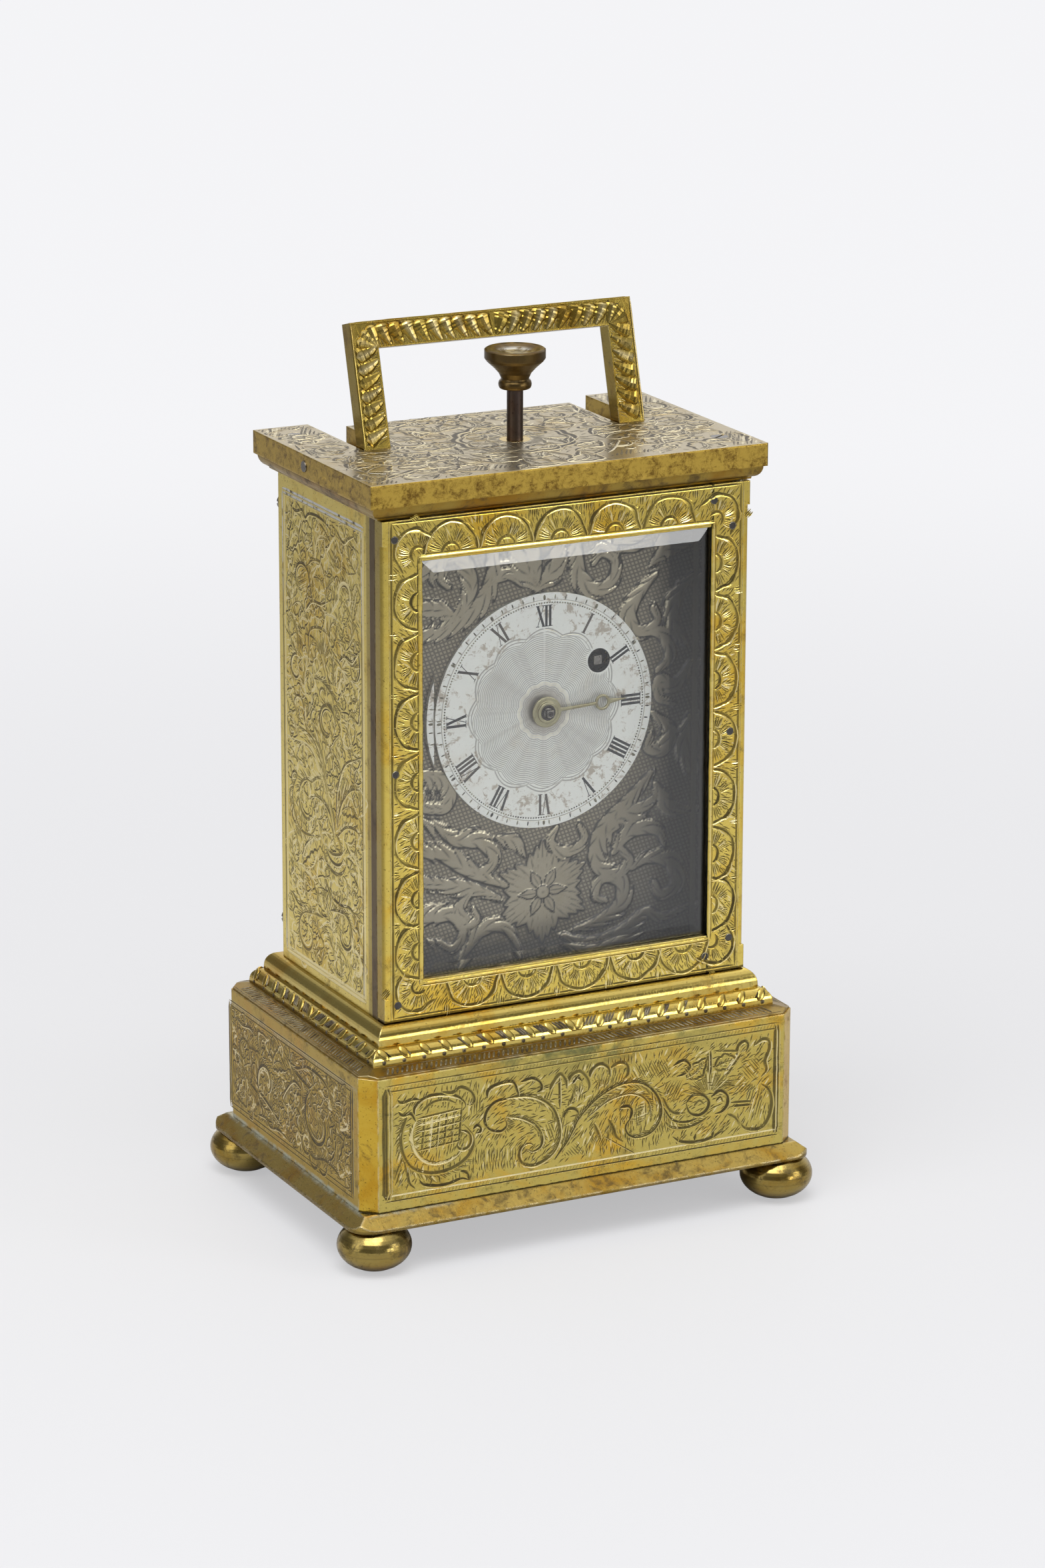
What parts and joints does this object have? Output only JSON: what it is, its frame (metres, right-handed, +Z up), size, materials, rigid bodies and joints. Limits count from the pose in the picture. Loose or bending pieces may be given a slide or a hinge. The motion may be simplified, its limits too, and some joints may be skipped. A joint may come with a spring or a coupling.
{
  "type": "travel clock",
  "caption": "Travelling clock in an engraved gilt brass case with a glazed door, folding carrying handle, push button, moulded plinth, ball feet, silvered dial and wheel train.",
  "frame": {"origin": "middle of the bounding box's footprint, on the surface the feet stand on", "axes": "+Z up, -Y out of the glazed front, +X towards the viewer's right, which is the door's hinge side"},
  "size_m": [0.0878, 0.0644, 0.1505],
  "materials": {
    "gilt_brass": "polished, engraved and worn",
    "brown_brass": "tarnished satin",
    "movement_brass": "grained",
    "silvered_brass": "matt silvered",
    "steel": "satin",
    "blued_steel": "blued and polished",
    "bell_metal": "polished",
    "glass": "clear, bevelled edges"
  },
  "bodies": {
    "case": {"bun_feet": "gilt_brass", "base_plate": "gilt_brass", "base_screws": "steel", "plinth_front": "gilt_brass", "plinth_back": "gilt_brass", "plinth_left": "gilt_brass", "plinth_right": "gilt_brass", "plinth_corners": "gilt_brass", "plinth_top": "gilt_brass", "leaf_moulding": "gilt_brass", "upper_moulding": "gilt_brass", "front_frame": "brown_brass", "side_panel_left": "gilt_brass", "side_panel_right": "gilt_brass", "back_cover": "gilt_brass", "back_screws": "steel", "case_pillars": "gilt_brass", "cornice_moulding": "gilt_brass", "top_slab": "gilt_brass", "top_screws": "steel", "bail_hinge_pins": "steel", "plunger_bush": "movement_brass", "plunger_cage": "brown_brass", "return_spring": "steel", "door_hinge_pins": "steel", "dial_mask": "silvered_brass", "mask_screws": "steel", "dial": "silvered_brass", "front_plate": "movement_brass", "rear_plate": "movement_brass", "movement_pillars": "movement_brass", "movement_screws": "blued_steel", "balance_spring": "blued_steel", "balance_cock": "movement_brass", "bell": "bell_metal", "bell_post": "gilt_brass"},
    "bail": {"bail_handle": "gilt_brass"},
    "plunger": {"push_button": "brown_brass", "plunger_stem": "steel"},
    "door": {"door_frame": "gilt_brass", "door_face_plate": "gilt_brass", "door_rivets": "steel", "door_glass": "glass", "glass_retainer": "brown_brass"},
    "hour": {"hour_wheel": "movement_brass", "hour_hand": "blued_steel"},
    "centre": {"centre_wheel": "movement_brass", "cannon_pinion": "steel"},
    "minute": {"minute_wheel": "movement_brass"},
    "barrel": {"spring_barrel": "movement_brass"},
    "winding": {"winding_arbor": "steel"},
    "click": {"winding_click": "steel"},
    "third": {"third_wheel": "movement_brass"},
    "fourth": {"fourth_wheel": "movement_brass"},
    "escape": {"escape_wheel": "steel"},
    "balance": {"balance_wheel": "movement_brass"},
    "rack": {"repeat_rack": "steel"},
    "repeater": {"repeat_wheel": "steel"},
    "hammer": {"repeat_hammer": "steel"}
  },
  "joints": [
    {"name": "bail_swing", "type": "hinge", "parent": "case", "child": "bail", "pos_m": [0, 0.003, 0.1285], "axis": [-1, 0, 0], "range_deg": [0, 74.4]},
    {"name": "door_swing", "type": "hinge", "parent": "case", "child": "door", "pos_m": [0.0321, -0.0199, 0.0821], "axis": [0, 0, 1], "range_deg": [0, 90]},
    {"name": "button_push", "type": "slide", "parent": "case", "child": "plunger", "axis": [0, 0, -1], "range_m": [0, 0.0065], "stiffness_N_per_m": 150, "springref_m": -0.004, "deforming": ["return_spring"]},
    {"name": "third_turn", "type": "hinge", "parent": "case", "child": "third", "pos_m": [-0.00947, -0.0015, 0.08345], "axis": [0, 1, 0], "continuous": true},
    {"name": "centre_turn", "type": "hinge", "parent": "case", "child": "centre", "pos_m": [0, -0.0015, 0.0869], "axis": [0, 1, 0], "continuous": true},
    {"name": "barrel_turn", "type": "hinge", "parent": "case", "child": "barrel", "pos_m": [0.0101, -0.0015, 0.09429], "axis": [0, 1, 0], "continuous": true},
    {"name": "minute_turn", "type": "hinge", "parent": "case", "child": "minute", "pos_m": [-0.00205, -0.0093, 0.08126], "axis": [0, 1, 0], "continuous": true},
    {"name": "hour_turn", "type": "hinge", "parent": "case", "child": "hour", "pos_m": [0, -0.0118, 0.0869], "axis": [0, 1, 0], "continuous": true},
    {"name": "fourth_turn", "type": "hinge", "parent": "case", "child": "fourth", "pos_m": [-0.00505, -0.0015, 0.0758], "axis": [0, 1, 0], "continuous": true},
    {"name": "escape_turn", "type": "hinge", "parent": "case", "child": "escape", "pos_m": [0.00311, -0.0015, 0.0758], "axis": [0, 1, 0], "continuous": true},
    {"name": "winding_turn", "type": "hinge", "parent": "case", "child": "winding", "pos_m": [0.0101, -0.0015, 0.09429], "axis": [0, 1, 0], "continuous": true},
    {"name": "click_lift", "type": "hinge", "parent": "case", "child": "click", "pos_m": [0.01568, -0.0087, 0.0938], "axis": [0, -1, 0], "range_deg": [0, 8], "stiffness_Nm_per_rad": 0.0002, "springref_deg": -11.46},
    {"name": "balance_swing", "type": "hinge", "parent": "case", "child": "balance", "pos_m": [0.00773, 0.005, 0.07795], "axis": [0, 1, 0], "range_deg": [-135, 135], "stiffness_Nm_per_rad": 0.000006},
    {"name": "rack_swing", "type": "hinge", "parent": "case", "child": "rack", "pos_m": [-0.014, -0.0015, 0.10336], "axis": [0, 1, 0], "range_deg": [0, 26.9]},
    {"name": "repeater_turn", "type": "hinge", "parent": "case", "child": "repeater", "pos_m": [-0.01007, -0.0015, 0.09255], "axis": [0, 1, 0], "range_deg": [-97, 0]},
    {"name": "hammer_strike", "type": "hinge", "parent": "case", "child": "hammer", "pos_m": [-0.0155, -0.0018, 0.0729], "axis": [0, 1, 0], "range_deg": [0, 8], "stiffness_Nm_per_rad": 0.004, "springref_deg": -5.73}
  ],
  "couplings": [
    {"joint": "third_turn", "follows": "fourth_turn", "ratio": -0.13333},
    {"joint": "centre_turn", "follows": "fourth_turn", "ratio": 0.016667},
    {"joint": "barrel_turn", "follows": "fourth_turn", "ratio": -0.0027778},
    {"joint": "minute_turn", "follows": "fourth_turn", "ratio": -0.0055556},
    {"joint": "hour_turn", "follows": "fourth_turn", "ratio": 0.0013889},
    {"joint": "escape_turn", "follows": "fourth_turn", "ratio": -7.5},
    {"joint": "rack_swing", "follows": "button_push", "rad_per_m": 71.961},
    {"joint": "repeater_turn", "follows": "button_push", "rad_per_m": -259.06}
  ]
}
